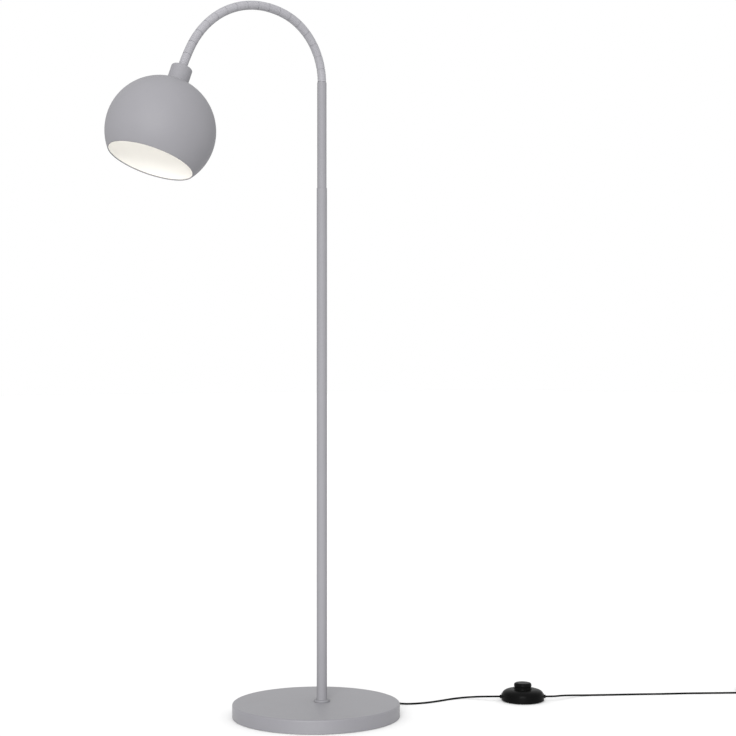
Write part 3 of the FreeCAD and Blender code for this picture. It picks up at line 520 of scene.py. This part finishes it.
inner_radius = SHADE_RADIUS - SHADE_WALL
rim_angle = RIM_BEAD / SHADE_RADIUS - math.asin(OPENING_DROP / SHADE_RADIUS)
lining_angle = rim_angle + LINING_GAP / SHADE_RADIUS
outside = ball_arc(SHADE_RADIUS, math.acos(NECK_BORE / SHADE_RADIUS), rim_angle, ARC_STEPS)
inside = ball_arc(inner_radius, lining_angle, math.acos(NECK_BORE / inner_radius), ARC_STEPS)
bead_distance = SHADE_RADIUS - RIM_BEAD
bead_centre = Vector((bead_distance * math.cos(rim_angle), bead_distance * math.sin(rim_angle)))
bead = []
for step in range(1, RIM_STEPS + 1):
    turn = rim_angle - RIM_WRAP * step / RIM_STEPS
    bead.append(tuple(bead_centre + Vector((math.cos(turn), math.sin(turn))) * RIM_BEAD))
shade_outline = outside + bead + inside + outside[:1]
print("the shade's outline has", len(shade_outline), "points")

# %% The shade itself
SHADE_SIDES = 192
GREY, WHITE = 0, 1
grey_steps = ARC_STEPS + RIM_STEPS + 1
last_step = len(shade_outline) - 2


def shade_finish(index):
    """Grey outside, on the bead and in the neck's bore; white on the lining."""
    return GREY if index < grey_steps or index == last_step else WHITE


shade = spun("painted_shade", shade_outline, SHADE_SIDES, HEAD, shade_finish)
wear(shade, grey_paint, white_paint)
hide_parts("shade")
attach(shade, "head")

# %% [markdown]
# ## The fixing cover
# A short cap hides the nut that holds the shade to the neck. It stands on the ball with a
# hair of a gap, and the picture shows that gap as a dark line. A painted line would be
# quicker, but it would stay dark from every side. So the cap is spun with a true step in
# its foot, and it is a thin hollow wall with a rounded shoulder, as the real one is.

# %% The fixing cover itself
CAP_RADIUS = 0.0182
CAP_HEIGHT = 0.027
CAP_WALL = 0.0015
CAP_ROUND = 0.0032
CAP_STEP = 0.0013
CAP_SHADOW = 0.0008
NECK_HOLE = 0.0073
SMALL_SIDES = 96


def on_ball(radius):
    """How high above the ball's middle its surface is, at a distance from the axis."""
    return math.sqrt(SHADE_RADIUS ** 2 - radius ** 2)


def rounded_corner(radius, height, size, steps=6):
    """A quarter turn from a flank to a top edge."""
    return [(radius - size + size * math.cos(math.pi / 2 * step / steps),
             height - size + size * math.sin(math.pi / 2 * step / steps))
            for step in range(steps + 1)]


cap_top = SHADE_RADIUS + CAP_HEIGHT
cap_inside = CAP_RADIUS - CAP_WALL
cap_foot = CAP_RADIUS - CAP_STEP
cap_outline = [(NECK_HOLE, cap_top - CAP_WALL)]
cap_outline += rounded_corner(cap_inside, cap_top - CAP_WALL, CAP_ROUND - CAP_WALL)[::-1]
cap_outline += [(cap_inside, on_ball(cap_inside)), (cap_foot, on_ball(cap_foot)),
                (cap_foot, on_ball(cap_foot) + CAP_SHADOW),
                (CAP_RADIUS, on_ball(CAP_RADIUS) + CAP_SHADOW)]
cap_outline += rounded_corner(CAP_RADIUS, cap_top, CAP_ROUND)
cap_outline += [(NECK_HOLE, cap_top), cap_outline[0]]
fixing_cover = spun("stepped_fixing_cover", cap_outline, SMALL_SIDES, HEAD)
wear(fixing_cover, grey_paint)
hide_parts("socket_cover")
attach(fixing_cover, "head")

# %% [markdown]
# ## The foot ring
# A small ring hides the hole round the pole's foot. Its underside is stepped in, so that
# its edge floats a hair above the base, and that step draws the thin dark line that the
# picture shows there. It comes off the same lathe, and its height follows the light band
# round the pole's foot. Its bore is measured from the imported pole, so that the two fit, and
# it stays where the lathe spins it, because the pole stands on the Z axis too.

# %% The foot ring itself
RING_RADIUS = 0.0142
RING_HEIGHT = 0.0038
RING_STEP = 0.0010
RING_SHADOW = 0.0009
RING_ROUND = 0.0004
RING_PLAY = 0.00025

pole_low, pole_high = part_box("lower_pole")
ring_bore = (pole_high.x - pole_low.x) / 2 + RING_PLAY
ring_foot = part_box("foot_ring")[0].z
ring_top = ring_foot + RING_HEIGHT
print("ring bore", round(ring_bore / MM, 2), "mm")

ring_outline = [
    (ring_bore, ring_foot),
    (RING_RADIUS - RING_STEP, ring_foot),
    (RING_RADIUS - RING_STEP, ring_foot + RING_SHADOW),
    (RING_RADIUS, ring_foot + RING_SHADOW),
]
ring_outline += rounded_corner(RING_RADIUS, ring_top, RING_ROUND)
ring_outline += [(ring_bore + RING_PLAY, ring_top), (ring_bore, ring_top - RING_PLAY),
                 (ring_bore, ring_foot)]
foot_ring = spun("stepped_foot_ring", ring_outline, SMALL_SIDES, Matrix.Identity(4))
wear(foot_ring, grey_paint)
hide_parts("foot_ring")
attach(foot_ring, "stand")

# %% [markdown]
# ## The foot switch's cover
# In the picture the switch has a low upright wall with a rounded rim that catches the
# light, a fine groove behind that rim, and a full dome up to the button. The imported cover
# is plainer, so this one is spun in its place, hollow like the real moulding. The dome could
# be an arc, but a curve drawn with one pull point comes closer to its full shoulder.

# %% The switch cover's outline, in millimetres
COVER_RADIUS = 40.0
COVER_WALL = 2.0
COVER_FOOT = 4.0
COVER_SHOULDER = 10.6
COVER_RIM = 13.1
RIM_ROUND_UP, RIM_ROUND_IN = 1.2, 0.9
GROOVE = [(38.75, 12.5), (38.35, 13.0)]
DOME_FOOT, DOME_PULL = (38.3, 13.6), (37.6, 19.8)
CROWN_RADIUS, CROWN_HEIGHT = 25.0, 22.0
FLAT_RADIUS = 21.0
COVER_TOP = 22.2
BUTTON_HOLE = 16.8
HOLE_EDGE = 0.3


def bowed(start, pull, end, steps=12):
    """Points on a curve that leaves one point towards a second and ends in a third."""
    return [tuple((1 - t) ** 2 * a + 2 * t * (1 - t) * b + t * t * c
                  for a, b, c in zip(start, pull, end))
            for t in (step / steps for step in range(steps + 1))]


cover_outline = [(COVER_RADIUS - COVER_WALL, COVER_FOOT), (COVER_RADIUS, COVER_FOOT)]
cover_outline += bowed((COVER_RADIUS, COVER_RIM - RIM_ROUND_UP), (COVER_RADIUS, COVER_RIM),
                       (COVER_RADIUS - RIM_ROUND_IN, COVER_RIM), steps=5)
cover_outline += GROOVE
cover_outline += bowed(DOME_FOOT, DOME_PULL, (CROWN_RADIUS, CROWN_HEIGHT))
cover_outline += [(FLAT_RADIUS, COVER_TOP), (BUTTON_HOLE + HOLE_EDGE, COVER_TOP),
                  (BUTTON_HOLE, COVER_TOP - HOLE_EDGE), (BUTTON_HOLE, COVER_TOP - COVER_WALL)]
cover_outline += bowed((CROWN_RADIUS, CROWN_HEIGHT - COVER_WALL),
                       (DOME_PULL[0] - COVER_WALL, DOME_PULL[1] - COVER_WALL),
                       (DOME_FOOT[0] - COVER_WALL, DOME_FOOT[1] - COVER_WALL / 2))
cover_outline += [(COVER_RADIUS - COVER_WALL, COVER_SHOULDER), cover_outline[0]]
print("the cover's outline has", len(cover_outline), "points")

# %% [markdown]
# The cord passes through two bushes in the cover's wall. Their holes could be left out, as
# the bushes fill them, but then two pieces would share one space. A drill right through the
# cover and a boolean cut both at once, and keep them truly round.

# %% The cover, bored for its two cord bushes
COVER = Matrix.Translation(SWITCH_CENTRE) @ Matrix.Rotation(SWITCH_TURN, 4, "Z")
BUSH_RADIUS = 0.0032
DRILL_LENGTH = 0.1
DRILL_SIDES = 48


def drill_for(placement, radius, length):
    """A round bar along a placement's X, to cut with."""
    shape = bmesh.new()
    bmesh.ops.create_cone(shape, cap_ends=True, segments=DRILL_SIDES, radius1=radius,
                          radius2=radius, depth=length,
                          matrix=placement @ Matrix.Rotation(math.pi / 2, 4, "Y"))
    data = bpy.data.meshes.new("drill")
    shape.to_mesh(data)
    shape.free()
    drill = bpy.data.objects.new("drill", data)
    scene.collection.objects.link(drill)
    return drill


def bored(piece, drill):
    """Cut the drill out of a piece, keep the result as its mesh, and drop the drill."""
    cut = piece.modifiers.new("bore", "BOOLEAN")
    cut.operation = "DIFFERENCE"
    cut.solver = "EXACT"
    cut.object = drill
    shown = bpy.context.evaluated_depsgraph_get()
    result = bpy.data.meshes.new_from_object(piece.evaluated_get(shown))
    piece.modifiers.clear()
    piece.data = result
    result.set_sharp_from_angle(angle=SHARP_CORNER)
    bpy.data.objects.remove(drill)
    print(piece.name, "has", len(result.polygons), "faces once bored")


bush_line = COVER @ Matrix.Translation((0, 0, EXIT_HEIGHT * MM))
switch_cover = spun("domed_switch_cover", [(r * MM, z * MM) for r, z in cover_outline],
                    SMALL_SIDES, COVER)
bored(switch_cover, drill_for(bush_line, BUSH_RADIUS, DRILL_LENGTH))
wear(switch_cover, black_plastic)
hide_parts("switch_cover")
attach(switch_cover, "stand")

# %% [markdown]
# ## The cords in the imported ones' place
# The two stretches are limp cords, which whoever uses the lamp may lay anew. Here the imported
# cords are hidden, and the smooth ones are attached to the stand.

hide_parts("cord_to_switch")
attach(to_switch, "stand")

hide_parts("cord_from_switch", "cord_coil", "cord_tail")
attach(from_switch_cord, "stand")

# %% [markdown]
# ## The studio
# The picture is a plain white cut-out, so the studio is a white floor under an even white sky.
# The floor is a little grey and a little lit, so that it turns out white but still takes the
# faint shadows.

# %% Floor
FLOOR_REACH = 30


def pale_floor():
    """A flat square far wider than the picture, nearly white."""
    data = bpy.data.meshes.new("studio_floor")
    corners = [(-FLOOR_REACH, -FLOOR_REACH, 0), (FLOOR_REACH, -FLOOR_REACH, 0),
               (FLOOR_REACH, FLOOR_REACH, 0), (-FLOOR_REACH, FLOOR_REACH, 0)]
    data.from_pydata(corners, [], [(0, 1, 2, 3)])
    floor = bpy.data.objects.new("studio_floor", data)
    scene.collection.objects.link(floor)
    finish, tree, shader = new_finish("pale_floor")
    shader.inputs["Base Color"].default_value = (0.70, 0.70, 0.70, 1.0)
    shader.inputs["Roughness"].default_value = 0.9
    shader.inputs["Specular IOR Level"].default_value = 0.1
    shader.inputs["Emission Color"].default_value = (1.0, 1.0, 1.0, 1.0)
    shader.inputs["Emission Strength"].default_value = 0.1
    data.materials.append(finish)
    print("floor", 2 * FLOOR_REACH, "m wide")


pale_floor()

# %% [markdown]
# The main light is a wide, soft sun, low in front and a little to the left. It darkens the
# right side of the shade and both edges of the pole slightly, as in the picture. Lamps close
# by would do that too, but would fall off along a pole this tall. A second, weak sun
# overhead lifts the top of the base.

# %% Sky and lights
def white_sky():
    """An even white world, seen and reflected from every side."""
    world = bpy.data.worlds.new("studio")
    world.use_nodes = True
    background = world.node_tree.nodes["Background"]
    background.inputs["Color"].default_value = (1.0, 1.0, 1.0, 1.0)
    background.inputs["Strength"].default_value = 1.0
    scene.world = world


def soft_sun(name, azimuth, height, strength, width):
    """A far light: degrees left of the camera, above the floor and across, and its power."""
    data = bpy.data.lights.new(name, "SUN")
    data.energy = strength
    data.angle = math.radians(width)
    light = bpy.data.objects.new(name, data)
    light.rotation_euler = (math.radians(90 - height), 0.0,
                            CAMERA_TURN - math.radians(azimuth))
    scene.collection.objects.link(light)
    print(name, "sun", height, "degrees high")


white_sky()
soft_sun("front", azimuth=7.0, height=14.0, strength=3.1, width=25.0)
soft_sun("overhead", azimuth=0.0, height=80.0, strength=0.45, width=60.0)
scene.view_settings.view_transform = "Standard"
